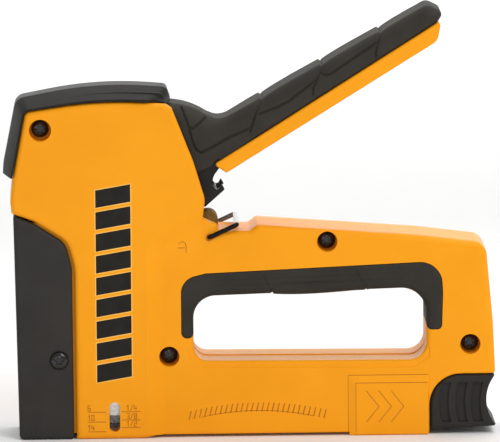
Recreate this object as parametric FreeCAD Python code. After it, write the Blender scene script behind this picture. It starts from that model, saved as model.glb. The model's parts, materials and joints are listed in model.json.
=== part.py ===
"""Heavy-duty hand staple gun: a die-cast tacker with its lever raised.

Frame: millimetres, X along the tool with the nose at -X, Z up, Y across. The origin is on the base plane,
under the middle of the tool. The tool's left side is -Y. Every piece is one node in parts/NODE.step.
"""

import FreeCAD, Part
import math
import os

from FreeCAD import Vector

# ---- Driving dimensions -------------------------------------------------------------------------------
HEAD_HALF = 16.0        # half width of the head
HANDLE_HALF = 14.0      # half width of the handle and of the lower bar
HEAD_CAVITY_HALF = 12.9
HANDLE_CAVITY_HALF = 11.4
HEAD_EDGE = 2.0         # rounding of the head's outer edges
HANDLE_EDGE = 2.4       # rounding of the handle's top and rear edges
LOWER_EDGE = 0.8        # rounding of the lower bar and the latch pocket
OPENING_EDGE = 2.2      # rounding of the finger opening's edges
SEAT_GAP = 0.1          # gap between pieces of one body that sit together
RUNNING = 0.05          # radial clearance of a pin in its bore
SLIDING = 0.3           # gap between pieces that move past each other

PIVOT = (-33.1, 106.8)  # lever pivot, X and Z
PIVOT_PIN_R = 3.0
LEVER_SLOPE = 32.1      # slope of the raised lever, degrees
LEVER_TRAVEL = 32.0     # squeeze travel, degrees
LEVER_ROOT = (-14.3, 110.7)
STRIP_DEPTH = 5.6
GRIP_HALF = 13.2
GRIP_EDGE = 2.8         # rounding of the grip's arm
STRIP_HALF = 12.6
BUMP_R = 28.6           # round hub of the grip, about the pivot
BUMP_HALF = 11.0
PLATE_IN = 7.0          # lever side plates lie between these half widths
PLATE_OUT = 8.9
LIFT = 17.0             # travel of the striker
ROLLER_R = 3.0
LIFTER_PIN_R = 1.5
LIFTER_ARM = LIFT / (2.0 * math.sin(math.radians(LEVER_TRAVEL / 2.0)))

BLADE_FRONT = -89.0
BLADE_THICK = 1.2
BLADE_HALF = 5.2
SPRING_X = -78.0        # axis of the power spring
SPRING_MEAN_R = 7.2
SPRING_WIRE_R = 1.3
SPIGOT_R = SPRING_MEAN_R - SPRING_WIRE_R - 0.6
SHELF_BOTTOM = 80.0     # striker carrier's spring shelf
SHELF_TOP = 84.0
COLUMN_HALF = 5.8       # striker carrier's rear column
SEAT_BOTTOM = 118.1     # upper spring seat
SEAT_THICK = 2.0

CROWN_HALF = 5.3        # staple crown, half of 10.6 mm
CROWN_TOP = 17.4
LEG_LENGTH = 9.5        # a 3/8 in staple
RAIL_HALF = 4.4
RAIL_TOP = 16.6
RAIL_BOTTOM = 7.8
RAIL_TAIL = (68.0, 4.2) # the rail's deeper rear end: where it starts, X, and its bottom, Z
RAIL_WALL = 1.0
RAIL_FRONT = -87.3
RAIL_PIN = (82.0, 6.6)  # cross pin through the rail and the latch, X and Z
RAIL_PIN_R = 1.2
TRACK_HALF = 5.7        # inside of the fixed magazine channel
TRACK_WALL = 1.0
TRACK_TOP = 18.0
FLOOR_TOP = 2.6
ROD_Z = 10.4
ROD_R = 1.25
PUSHER_FRONT = -9.6
PUSHER_LENGTH = 13.0

LATCH_LEFT = 72.4
LATCH_HALF = 13.8
FINGER_GROOVES = [(75.9, 3.8), (82.5, 3.9), (88.7, 3.9)]  # X of each groove's left edge, and its width
GROOVE_ENDS = (5.0, 21.2)
GROOVE_BOW = 1.2        # how far a groove's ends lie behind its middle
GROOVE_DEPTH = 1.1

BAIL_PIVOT = (-16.4, 81.6)
BAIL_END = (-5.2, 86.7)
BAIL_HALF = 14.9
BAIL_WIRE_R = 0.95
BAIL_BEND = 1.3         # bend radius at the wire's four corners

BUMPER = (-16.5, 86.8, 4.0)  # stop for the closing lever: X, Z, radius
BUMPER_HALF = 5.0
BUMPER_PIN_R = 1.2

SCREWS = {"front_top": (-83.8, 125.9, 4.45, HEAD_HALF), "handle_top": (31.1, 79.2, 4.1, HANDLE_HALF),
          "lower_middle": (-32.8, 33.1, 4.1, HANDLE_HALF), "rear_post": (88.6, 36.8, 4.1, HANDLE_HALF)}
RECESS_DEPTH = 7.0
SCREW_HEAD_R = 3.5
SCREW_HEAD_DEPTH = 2.6
SCREW_SHANK_R = 1.5
DRIVE_LOBE_R = 0.45     # six-lobe drive
DRIVE_R = 1.15
DRIVE_DEPTH = 1.4
RIVET_HOLE_R = 1.22
RIVET_R = 1.2
RIVET_HEIGHTS = (72.0, 79.0)
NOSE_SCREW = (-77.1, 32.5)

WINDOW = (-55.0, 2.9, 15.0, 2.15)  # level window: X, lower end, upper end, half width

OUT = "parts"


# ---- Small tools --------------------------------------------------------------------------------------
def at(x, z, y=0.0):
    return Vector(x, y, z)


def outline(corners, y=0.0):
    """Closed wire in the XZ plane. Each corner is (x, z) or (x, z, radius)."""
    count = len(corners)
    points = [at(c[0], c[1], y) for c in corners]
    edges = []
    starts = []
    ends = []
    arcs = []
    for i in range(count):
        here = points[i]
        radius = corners[i][2] if len(corners[i]) > 2 else 0.0
        back = (points[i - 1] - here).normalize()
        ahead = (points[(i + 1) % count] - here).normalize()
        if radius <= 0.0:
            starts.append(here)
            ends.append(here)
            arcs.append(None)
            continue
        half = back.getAngle(ahead) / 2.0
        reach = radius / math.tan(half)
        inward = (back + ahead).normalize()
        centre = here + inward * (radius / math.sin(half))
        starts.append(here + back * reach)
        ends.append(here + ahead * reach)
        arcs.append(centre - inward * radius)
    for i in range(count):
        if arcs[i] is not None:
            edges.append(Part.Arc(starts[i], arcs[i], ends[i]).toShape())
        follower = starts[(i + 1) % count]
        if (follower - ends[i]).Length > 1e-4:
            edges.append(Part.LineSegment(ends[i], follower).toShape())
    return Part.Wire(Part.__sortEdges__(edges))


def prism(corners, y_low, y_high):
    """An outline in the XZ plane drawn out from y_low to y_high."""
    face = Part.Face(outline(corners, y_low))
    return face.extrude(Vector(0, y_high - y_low, 0))


def soft_prism(corners, half, radius):
    """A prism from -half to half with its outer edges rounded."""
    body = prism(corners, -half, half)
    rim = [e for e in body.Edges if all(abs(abs(v.Y) - half) < 1e-6 for v in e.Vertexes)]
    return body.makeFillet(radius, rim)


def box(x, y, z):
    """A box from three (low, high) pairs."""
    return Part.makeBox(x[1] - x[0], y[1] - y[0], z[1] - z[0], Vector(x[0], y[0], z[0]))


def across(x, z, radius, y_low, y_high):
    """A cylinder along Y."""
    return Part.makeCylinder(radius, y_high - y_low, at(x, z, y_low), Vector(0, 1, 0))


def along(y, z, radius, x_low, x_high):
    """A cylinder along X."""
    return Part.makeCylinder(radius, x_high - x_low, Vector(x_low, y, z), Vector(1, 0, 0))


def fuse(shapes):
    whole = shapes[0]
    if len(shapes) > 1:
        whole = whole.multiFuse(shapes[1:])
    return whole.removeSplitter()


def mirrored(shape):
    return shape.mirror(Vector(0, 0, 0), Vector(0, 1, 0))


def coil(start, axis, turns, length, mean_r, wire_r):
    """A round-wire helix from start along axis."""
    helix = Part.makeHelix(length / turns, length, mean_r)
    circle = Part.Circle(Vector(mean_r, 0, 0), Vector(0, 1, 0), wire_r).toShape()
    spring = Part.Wire(helix.Edges).makePipeShell([Part.Wire(circle)], True, True)
    turn = FreeCAD.Rotation(Vector(0, 0, 1), axis)
    spring.Placement = FreeCAD.Placement(start, turn)
    return spring


def lever_point(along_lever, above):
    """A point of the raised lever: distance along its underside line and height above that line."""
    slope = math.radians(LEVER_SLOPE)
    x = LEVER_ROOT[0] + along_lever * math.cos(slope) - above * math.sin(slope)
    z = LEVER_ROOT[1] + along_lever * math.sin(slope) + above * math.cos(slope)
    return x, z


def about_pivot(radius, degrees):
    turn = math.radians(degrees)
    return PIVOT[0] + radius * math.cos(turn), PIVOT[1] + radius * math.sin(turn)


def save(name, shape):
    if not shape.isValid():
        print("not valid:", name)
    shape.exportStep(os.path.join(OUT, name + ".step"))
    print(name, "solids", len(shape.Solids), "volume", round(shape.Volume))


# ---- Outlines shared by several pieces ----------------------------------------------------------------
LIFTER = about_pivot(LIFTER_ARM, 180.0 + LEVER_TRAVEL / 2.0)

HEAD_TOP = [(-31.0, 134.2, 1.5), (-33.4, 136.0, 2.0), (-60.0, 137.8, 160.0), (-89.9, 133.3, 3.0)]
HEAD_FRONT = [(-95.0, 106.6), (-96.1, 96.7, 1.5), (-95.6, 92.2, 0.8)]
NOSE_LINE = [(-86.4, 88.8, 12.0), (-73.4, 80.6, 9.0), (-70.6, 70.0, 20.0), (-70.4, 0.0, 0.8)]
HEAD_REAR = [(-42.8, 0.0, 2.0), (-37.8, 1.2), (-34.5, 1.2), (-34.5, 76.4, 6.0), (-19.4, 85.2, 1.0),
             (-18.6, 91.4), (-17.9, 97.0, 8.0), (-22.4, 112.2, 60.0)]
HEAD = HEAD_TOP + HEAD_FRONT + NOSE_LINE + HEAD_REAR

LATCH_POCKET = 24.7     # underside of the handle above the latch
HANDLE = [(-62.0, 0.0), (-42.6, 0.0, 2.0), (-38.6, 1.2, 2.0), (40.4, 1.2), (72.0, 1.2, 0.8),
          (72.0, LATCH_POCKET, 12.8), (98.75, LATCH_POCKET), (97.9, 45.0, 60.0), (95.0, 77.9, 6.0),
          (68.0, 81.3, 60.0), (3.0, 86.2, 2.0), (0.0, 83.8, 1.5), (-12.4, 83.8, 1.2), (-13.2, 86.9, 1.4),
          (-17.7, 88.9, 3.0), (-22.0, 91.0), (-62.0, 86.0)]
REAR_PAD_FOOT = [(39.6, 0.0, 1.0), (71.9, 0.0, 1.0), (71.9, 24.3, 1.0), (39.6, 24.3, 1.0)]
REAR_PAD_FACE = [(41.9, 0.6, 1.0), (71.5, 0.6, 1.0), (71.5, 22.0, 1.0), (41.9, 22.0, 1.0)]

OPENING = [(-22.9, 31.5, 6.0), (70.9, 30.9, 7.0), (70.9, 60.0, 10.0), (-22.9, 57.2, 9.0)]
OPENING_LIP = 0.35      # the left half's opening is this much lower than the right half's
OPENING_BAND = [(-24.6, 31.7), (-18.0, 28.2, 1.5), (66.5, 27.3, 4.0), (72.4, 31.7), (72.4, 36.0),
                (-24.6, 36.0)]
BAND_DEPTH = 0.5
INLAY = [(-27.9, 40.4, 2.4), (-15.0, 40.4), (-15.0, 50.0), (60.0, 50.0), (60.0, 42.9), (77.2, 42.9, 2.0),
         (77.7, 58.0, 8.0), (77.0, 70.9, 9.0), (-18.0, 66.9, 4.0), (-27.9, 64.4, 7.0)]
INLAY_TIP = 2.2         # rounding of the inlay's two tips where they meet the opening

CAP = [(-95.2, 106.5), (-99.0, 107.4, 0.8), (-98.8, 110.6, 2.0), (-93.4, 138.0, 4.5), (-60.0, 144.4, 150.0),
       (-33.1, 142.1, 1.8), (-31.3, 136.8), (-33.4, 136.1, 2.0), (-60.0, 137.9, 160.0),
       (-90.0, 133.4, 3.0)]

NOSE_COVER = [(-93.4, 0.0, 2.0), (-71.4, 0.0, 1.2), (-71.6, 70.0, 20.0), (-74.2, 79.9, 8.0),
              (-86.6, 87.9, 12.0), (-95.0, 91.4, 0.8)]
NECK_FRONT = -89.2
NECK_HALF = 12.9


# Where the head's flat side eases down to the handle's: distance across the slope, depth below the head.
SLOPE = [(-6.0, -0.5), (-3.4, 0.0), (-2.1, 0.22), (-1.0, 0.62), (1.0, 1.38), (2.1, 1.78), (3.4, 2.0)]
SLOPE_BEND = 10.0               # bend radius where the slope turns upward, at its middle line
SLOPE_REACH = 60.0              # the cut goes on past the head's rear
SLOPE_FOOT = (-38.4, 78.7)      # corner of the slope's middle line, X and Z
SLOPE_RISE = 29.7               # rise of its upper stretch, degrees


# ---- Housing ------------------------------------------------------------------------------------------
def head_slope():
    """What the slope takes off the head's -Y side."""
    rise = math.radians(SLOPE_RISE)
    wires = []
    for shift, depth in SLOPE:
        x = SLOPE_FOOT[0] + shift
        z = SLOPE_FOOT[1] - shift * (1.0 - math.sin(rise)) / math.cos(rise)
        far = z + (SLOPE_REACH - x) * math.tan(rise)
        corners = [(x, -5.0), (x, z, SLOPE_BEND - shift), (SLOPE_REACH, far), (SLOPE_REACH, -5.0)]
        wires.append(outline(corners, -HEAD_HALF + depth))
    return Part.makeLoft(wires, True, True)


def handle_outer():
    handle = prism(HANDLE, -HANDLE_HALF, HANDLE_HALF).cut(prism(OPENING, -20.0, 20.0))
    rims = [e for e in handle.Edges if all(abs(abs(v.Y) - HANDLE_HALF) < 1e-6 for v in e.Vertexes)]
    opening = []
    lower = []
    upper = []
    for edge in rims:
        middle = edge.CenterOfMass
        if -23.0 < middle.x < 71.0 and 30.0 < middle.z < 61.0:
            opening.append(edge)
        elif middle.x < -30.0:
            continue
        elif middle.z < LATCH_POCKET + 0.1:
            lower.append(edge)
        else:
            upper.append(edge)
    handle = handle.makeFillet(OPENING_EDGE, opening)
    handle = refillet(handle, upper, HANDLE_EDGE)
    return refillet(handle, lower, LOWER_EDGE)


def refillet(solid, edges, radius):
    """Round edges that were picked before the solid last changed."""
    wanted = [e.CenterOfMass for e in edges]
    chosen = [e for e in solid.Edges if any((e.CenterOfMass - w).Length < 0.02 for w in wanted)]
    return solid.makeFillet(radius, chosen)


def rear_pad():
    side = Part.makeLoft([outline(REAR_PAD_FOOT, -HANDLE_HALF), outline(REAR_PAD_FACE, -HANDLE_HALF - 0.8)],
                         True, True)
    middle = prism(REAR_PAD_FOOT, -HANDLE_HALF, HANDLE_HALF)
    return fuse([middle, side, mirrored(side)])


def opening_band():
    """A shallow band with a sloped border, below the opening, on the -Y side."""
    depth = -HANDLE_HALF + BAND_DEPTH
    band = prism(OPENING_BAND, -HANDLE_HALF - 1.0, depth)
    border = [e for e in band.Edges if all(abs(v.Y - depth) < 1e-6 for v in e.Vertexes)]
    return band.makeChamfer(BAND_DEPTH, border)


def housing_outer():
    slope = head_slope()
    head = soft_prism(HEAD, HEAD_HALF, HEAD_EDGE).cut(slope).cut(mirrored(slope))
    band = opening_band()
    handle = handle_outer().cut(band).cut(mirrored(band))
    neck = box((NECK_FRONT, -69.0), (-NECK_HALF, NECK_HALF), (2.2, 94.0))
    return fuse([head, handle, rear_pad(), neck])


def housing_cavity():
    head = [(-31.0, 150.0), (-86.4, 150.0), (-86.6, 131.0, 2.0), (-93.4, 97.0, 2.0), (-93.0, 93.6, 1.0),
            (NECK_FRONT, 90.0), (NECK_FRONT, 19.0), (-70.0, 19.0), (-70.0, FLOOR_TOP), (-36.0, FLOOR_TOP),
            (-36.0, 76.0), (-21.2, 89.0), (-20.0, 97.0)]
    wide = prism(head, -HEAD_CAVITY_HALF, HEAD_CAVITY_HALF)
    neck = box((NECK_FRONT - 3.0, -70.0), (10.3, 20.0), (2.0, 88.0))
    wide = wide.cut(neck).cut(mirrored(neck))
    lower = [(-40.0, FLOOR_TOP), (69.0, FLOOR_TOP), (69.0, 29.0, 3.0), (-31.0, 29.0, 3.0), (-31.0, 70.0, 3.0),
             (66.0, 73.6), (78.0, 73.2, 6.0), (80.3, 60.0, 10.0), (80.3, 29.4, 1.0), (95.6, 29.4, 1.0),
             (94.8, 45.0, 60.0), (92.4, 75.4, 4.0), (68.0, 78.4, 60.0), (2.0, 83.2), (-12.0, 81.0),
             (-40.0, 81.0)]
    narrow = prism(lower, -HANDLE_CAVITY_HALF, HANDLE_CAVITY_HALF)
    return wide.fuse(narrow)


def lever_slot():
    """The open back of the head, where the lever swings."""
    slot = [(-34.0, 84.0), (-24.0, 80.0), (-12.9, 80.0), (-12.9, 84.5), (-10.0, 96.0), (-10.0, 150.0),
            (-34.0, 150.0)]
    return prism(slot, -HANDLE_CAVITY_HALF, HANDLE_CAVITY_HALF)


def bosses():
    """Screw posts, the lever pin's posts, ribs for the magazine track, the bumper and the spring seat."""
    solids = []
    for x, z, recess_r, half in SCREWS.values():
        solids.append(across(x, z, recess_r + 1.2, -half + 1.0, half - 1.0))
    for side in (-1, 1):
        low, high = sorted((side * (PLATE_OUT + 0.4), side * (HEAD_HALF - 1.0)))
        solids.append(across(PIVOT[0], PIVOT[1], PIVOT_PIN_R + 3.5, low, high))
        low, high = sorted((side * (TRACK_HALF + TRACK_WALL + SEAT_GAP), side * 12.0))
        for x in (-48.0, -8.0, 22.0, 64.0):
            solids.append(box((x - 1.2, x + 1.2), (low, high), (2.0, 24.0)))
        low, high = sorted((side * 8.5, side * 13.5))
        solids.append(box((-90.0, -68.0), (low, high), (SEAT_BOTTOM + SEAT_THICK + SEAT_GAP, 123.5)))
        solids.append(box((-84.0, -70.0), (low, high), (70.5, 74.0)))
    return solids


def screw_holes():
    cuts = []
    for x, z, recess_r, half in SCREWS.values():
        floor = -half + RECESS_DEPTH
        cuts.append(across(x, z, recess_r, -half - 1.0, floor))
        cuts.append(across(x, z, SCREW_SHANK_R + 0.15, floor - 1.0, 0.0))
        cuts.append(across(x, z, SCREW_SHANK_R + RUNNING, -0.1, half - 4.0))
    for side in (-1, 1):
        low, high = sorted((side * (NECK_HALF - 6.0), side * (NECK_HALF + 1.0)))
        cuts.append(across(NOSE_SCREW[0], NOSE_SCREW[1], SCREW_SHANK_R + RUNNING, low, high))
    return cuts


def magazine_slot():
    half = TRACK_HALF + TRACK_WALL + SEAT_GAP
    front = box((-95.0, -69.0), (-half, half), (1.0, TRACK_TOP + TRACK_WALL + SEAT_GAP))
    rear = box((60.0, 85.0), (-half, half), (FLOOR_TOP, TRACK_TOP + TRACK_WALL + SEAT_GAP))
    return front.fuse(rear)


def window_cut(y_low, y_high, grow=0.0):
    x, low, high, half = WINDOW
    corners = [(x - half - grow, low - grow, half), (x + half + grow, low - grow, half),
               (x + half + grow, high + grow, half), (x - half - grow, high + grow, half)]
    return prism(corners, y_low, y_high)


def bail_groove():
    """Groove in each side for the folded bail's leg, with the hole for the bail's end."""
    length = math.hypot(BAIL_END[0] - BAIL_PIVOT[0], BAIL_END[1] - BAIL_PIVOT[1]) + 6.0
    groove_r = BAIL_WIRE_R + SLIDING
    leg = Part.makeCylinder(groove_r, length, at(*BAIL_PIVOT, -BAIL_HALF),
                            at(BAIL_END[0] - BAIL_PIVOT[0], BAIL_END[1] - BAIL_PIVOT[1]))
    x, z = BAIL_PIVOT
    pad = across(x, z, groove_r + 0.25, -BAIL_HALF - 2.0, -BAIL_HALF + BAIL_BEND + SLIDING)
    hole = across(x, z, BAIL_WIRE_R + RUNNING, -BAIL_HALF, -HANDLE_CAVITY_HALF + 1.5)
    return leg.fuse(pad).fuse(hole)


def bail_sweep():
    """Room for the bail's leg as it swings up beside the head."""
    sweep = [(BAIL_PIVOT[0] - 2.2, BAIL_PIVOT[1] - 2.2, 2.0), (-2.0, 86.0), (-2.0, 100.0),
             (BAIL_PIVOT[0] - 2.2, 100.0)]
    return prism(sweep, -HEAD_HALF - 1.0, -BAIL_HALF + BAIL_WIRE_R + SLIDING)


def housing():
    body = housing_outer().cut(housing_cavity())
    body = body.fuse(fuse(bosses()).common(housing_outer()))
    pin_hole = across(PIVOT[0], PIVOT[1], PIVOT_PIN_R + RUNNING, -14.0, 14.0)
    lip = [(c[0], c[1] - OPENING_LIP, c[2]) for c in OPENING[:2]] + OPENING[2:]
    opening = prism(lip, -20.0, 0.0)
    inlay = inlay_blank(20.0)
    groove = bail_groove()
    sweep = bail_sweep()
    bumper_hole = across(BUMPER[0], BUMPER[1], BUMPER_PIN_R + RUNNING, -13.0, 13.0)
    cuts = [lever_slot(), magazine_slot(), window_cut(-20.0, -5.0), pin_hole, bumper_hole, opening, inlay]
    cuts += [groove, mirrored(groove), sweep, mirrored(sweep)]
    cuts += screw_holes()
    return body.cut(fuse(cuts)).removeSplitter()


def housing_half(body, side):
    low, high = sorted((0.0, side * 30.0))
    return body.common(box((-120.0, 120.0), (low, high), (-5.0, 160.0)))


def top_cap():
    cap = soft_prism(CAP, HEAD_HALF + 0.2, 0.7)
    hollow = [(-94.0, 108.0), (-96.6, 111.0, 2.0), (-91.6, 135.4, 3.0), (-60.0, 141.2, 150.0),
              (-36.5, 139.2, 1.0), (-36.5, 130.0), (-88.0, 130.0)]
    return cap.cut(prism(hollow, -HEAD_CAVITY_HALF, HEAD_CAVITY_HALF))


def nose_cover():
    cover = soft_prism(NOSE_COVER, HEAD_HALF, 1.6)
    inside = box((-91.4, -60.0), (-NECK_HALF - SEAT_GAP, NECK_HALF + SEAT_GAP), (2.1, 100.0))
    exit_slot = box((-90.0, -87.0), (-5.8, 5.8), (-1.0, 5.0))
    cover = cover.cut(inside).cut(exit_slot)
    for side in (-1, 1):
        low, high = sorted((side * (NECK_HALF - 1.0), side * (HEAD_HALF + 1.0)))
        cover = cover.cut(across(NOSE_SCREW[0], NOSE_SCREW[1], SCREW_SHANK_R + 0.15, low, high))
        low, high = sorted((side * (HEAD_HALF - 0.8), side * (HEAD_HALF + 1.0)))
        cover = cover.cut(across(NOSE_SCREW[0], NOSE_SCREW[1], SCREW_HEAD_R + 0.3, low, high))
    return cover


def nose_plate():
    plate = box((-91.3, NECK_FRONT - 0.02), (-11.0, 11.0), (2.2, 78.0))
    tongue = box((-91.3, NECK_FRONT - 0.02), (-5.6, 5.6), (0.4, 4.0))
    return fuse([plate, tongue.common(box((-90.0, -80.0), (-5.6, 5.6), (0.0, 4.0)))])


def inlay_blank(half):
    """The rubber inlay without its edge rounding: the outline less the opening, with round tips."""
    blank = prism(INLAY, -half, half).cut(prism(OPENING, -half, half))
    tips = [(OPENING[0][0], INLAY[0][1]), (OPENING[1][0], INLAY[4][1])]
    edges = [e for e in blank.Edges if any(all(math.hypot(v.X - x, v.Z - z) < 0.3 for v in e.Vertexes)
                                           for x, z in tips)]
    return blank.makeFillet(INLAY_TIP, edges)


def handle_grip():
    half = HANDLE_HALF + 0.2
    grip = inlay_blank(half)
    rims = [e for e in grip.Edges if all(abs(abs(v.Y) - half) < 1e-6 for v in e.Vertexes)]
    return grip.makeFillet(0.8, rims)


def magazine_track():
    outer_half = TRACK_HALF + TRACK_WALL
    outer = box((-87.0, 70.0), (-outer_half, outer_half), (FLOOR_TOP + 0.1, TRACK_TOP + TRACK_WALL))
    inner = box((-90.0, 80.0), (-TRACK_HALF, TRACK_HALF), (0.0, TRACK_TOP))
    return outer.cut(inner).cut(window_cut(-20.0, 0.0, 0.3))


def striker_guide():
    back = box((-87.55, -84.5), (-9.8, 9.8), (19.6, 66.0))
    cheeks = box((-89.1, -86.0), (5.5, 9.8), (19.6, 66.0))
    return fuse([back, cheeks, mirrored(cheeks)])


def spring_seat():
    plate = box((-88.0, -69.2), (-12.6, 12.6), (SEAT_BOTTOM, SEAT_BOTTOM + SEAT_THICK))
    spigot = Part.makeCylinder(SPIGOT_R, 4.0, Vector(SPRING_X, 0, SEAT_BOTTOM - 4.0))
    return fuse([plate, spigot])


def shock_absorber():
    return box((-83.4, -70.4), (-10.1, 10.1), (74.1, SHELF_BOTTOM - SLIDING))


def lever_pin():
    return across(PIVOT[0], PIVOT[1], PIVOT_PIN_R, -13.9, 13.9)


def torx_screw(x, z, head_y, length):
    """Screw along Y with its head facing -Y at head_y."""
    head = across(x, z, SCREW_HEAD_R, head_y, head_y + SCREW_HEAD_DEPTH)
    rim = [e for e in head.Edges if abs(e.CenterOfMass.y - head_y) < 1e-6]
    head = head.makeFillet(0.8, rim)
    drive = [across(x, z, DRIVE_R, head_y - 1.0, head_y + DRIVE_DEPTH)]
    for i in range(6):
        turn = math.radians(60.0 * i)
        lobe_x = x + DRIVE_R * math.cos(turn)
        lobe_z = z + DRIVE_R * math.sin(turn)
        drive.append(across(lobe_x, lobe_z, DRIVE_LOBE_R, head_y - 1.0, head_y + DRIVE_DEPTH))
    shank = across(x, z, SCREW_SHANK_R, head_y + 2.0, head_y + length)
    return head.fuse(shank).cut(fuse(drive))


def housing_screws():
    screws = []
    for x, z, _, half in SCREWS.values():
        head_y = -half + RECESS_DEPTH - SCREW_HEAD_DEPTH
        screws.append(torx_screw(x, z, head_y, half + 0.1))
    return Part.makeCompound(screws)


def nose_screws():
    near = torx_screw(NOSE_SCREW[0], NOSE_SCREW[1], -HEAD_HALF - 1.8, 9.0)
    return Part.makeCompound([near, mirrored(near)])


def lever_bumper():
    sleeve = across(BUMPER[0], BUMPER[1], BUMPER[2], -BUMPER_HALF, BUMPER_HALF)
    return sleeve.cut(across(BUMPER[0], BUMPER[1], BUMPER_PIN_R + RUNNING, -20.0, 20.0))


def bumper_pin():
    return across(BUMPER[0], BUMPER[1], BUMPER_PIN_R, -12.8, 12.8)


def return_spring():
    return coil(at(PIVOT[0], PIVOT[1], -5.4), Vector(0, 1, 0), 6.0, 10.8, 4.4, 0.7)


# ---- Lever --------------------------------------------------------------------------------------------
# The hook at the lever plates' tip, which the bail's crossbar drops into when the lever is down.
HOOK_NOTCH = [(-5.0, 102.3), (-11.0, 102.3), (-12.0, 100.5, 0.8), (-13.4, 100.2, 0.9), (-14.9, 102.4, 1.8),
              (-14.2, 105.8, 4.0), (-12.0, 108.8), (-5.0, 108.8)]


def lever_frame():
    plate = [(-17.7, 93.2, 0.6), (-9.8, 100.2, 0.5), (-11.1, 102.5), (-12.6, 104.0), (-12.4, 108.4),
             lever_point(4.4, -3.0), lever_point(98.0, -3.0), lever_point(98.0, 5.5), lever_point(17.0, 5.5),
             (-22.0, 117.0, 6.0), (-38.0, 117.0, 8.0), (-59.0, 102.6, 3.0), (-66.4, 100.0, 4.0),
             (-63.4, 92.6, 4.0), (-40.0, 96.6, 6.0)]
    solid = prism(plate, -PLATE_OUT, PLATE_OUT)
    arm_web = [lever_point(10.0, 3.6), lever_point(99.0, 3.6), lever_point(99.0, -6.0),
               lever_point(6.0, -6.0)]
    solid = solid.cut(prism(arm_web, -PLATE_IN, PLATE_IN))
    hub = [lever_point(10.2, 12.0), lever_point(10.2, 3.6), lever_point(10.2, -14.0), (-8.0, 90.0),
           (-80.0, 88.0), (-80.0, 125.0)]
    solid = solid.cut(prism(hub, -PLATE_IN, PLATE_IN))
    stiffener = box((-50.0, -47.0), (-PLATE_OUT, PLATE_OUT), (95.5, 108.0))
    stiffener = stiffener.common(prism(plate, -9.0, 9.0))
    landing = prism([(-15.0, 98.4), (-12.9, 99.9), (-13.2, 100.7), (-15.9, 99.6)], -PLATE_IN - 0.5,
                    PLATE_IN + 0.5)
    solid = solid.fuse([stiffener, landing])
    solid = solid.cut(prism(HOOK_NOTCH, -20.0, 20.0))
    solid = solid.cut(across(PIVOT[0], PIVOT[1], PIVOT_PIN_R + RUNNING, -20.0, 20.0))
    solid = solid.cut(across(LIFTER[0], LIFTER[1], LIFTER_PIN_R + 0.02, -20.0, 20.0))
    return solid.removeSplitter()


def lever_strip():
    corners = [lever_point(2.6, -STRIP_DEPTH) + (0.8,), lever_point(102.6, -STRIP_DEPTH - 0.8) + (5.0,),
               lever_point(107.2, -1.4) + (1.2,), lever_point(106.8, -SEAT_GAP), lever_point(0.2, -SEAT_GAP)]
    strip = soft_prism(corners, STRIP_HALF, 0.9)
    pocket = [lever_point(-2.0, -3.1), lever_point(98.2, -3.1), lever_point(98.2, 3.0),
              lever_point(-2.0, 3.0)]
    for side in (-1, 1):
        low, high = sorted((side * (PLATE_IN - SEAT_GAP), side * (PLATE_OUT + SEAT_GAP)))
        strip = strip.cut(prism(pocket, low, high))
    return strip


def lever_grip():
    arm = [lever_point(1.0, 0.0), lever_point(107.2, 0.0) + (1.0,), lever_point(110.8, 1.6) + (2.2,),
           lever_point(107.0, 8.0) + (3.6,), lever_point(33.0, 12.4) + (40.0,), (-12.3, 127.6, 9.0),
           (-19.0, 131.2)]
    grip = soft_prism(arm, GRIP_HALF, GRIP_EDGE)
    start = about_pivot(BUMP_R, 56.0)
    end = about_pivot(BUMP_R, 116.0)
    crest = about_pivot(BUMP_R, 86.0)
    rim = Part.Arc(at(*start, -BUMP_HALF), at(*crest, -BUMP_HALF), at(*end, -BUMP_HALF))
    path = [end, about_pivot(11.0, 116.0), (-26.0, 117.2), (-25.0, 106.6), (-20.6, 107.6), (-15.2, 109.9),
            (-10.0, 116.0), (-10.0, 127.6), start]
    path = [at(*point, -BUMP_HALF) for point in path]
    sides = [Part.LineSegment(a, b).toShape() for a, b in zip(path, path[1:])]
    hub = Part.Face(Part.Wire([rim.toShape()] + sides)).extrude(Vector(0, 2 * BUMP_HALF, 0))
    channel = [lever_point(-12.0, -8.0), lever_point(98.2, -8.0), lever_point(98.2, 5.6),
               lever_point(16.8, 5.6), (-21.9, 117.1), (-38.1, 117.1), (-38.0, 100.0)]
    grip = grip.fuse(hub)
    return grip.cut(prism(channel, -PLATE_OUT - SEAT_GAP, PLATE_OUT + SEAT_GAP)).removeSplitter()


def lifter_roller():
    tube = across(LIFTER[0], LIFTER[1], ROLLER_R, -PLATE_IN + SLIDING, PLATE_IN - SLIDING)
    return tube.cut(across(LIFTER[0], LIFTER[1], LIFTER_PIN_R + RUNNING, -20.0, 20.0))


def lifter_pin():
    return across(LIFTER[0], LIFTER[1], LIFTER_PIN_R, -PLATE_OUT - 0.6, PLATE_OUT + 0.6)


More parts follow.
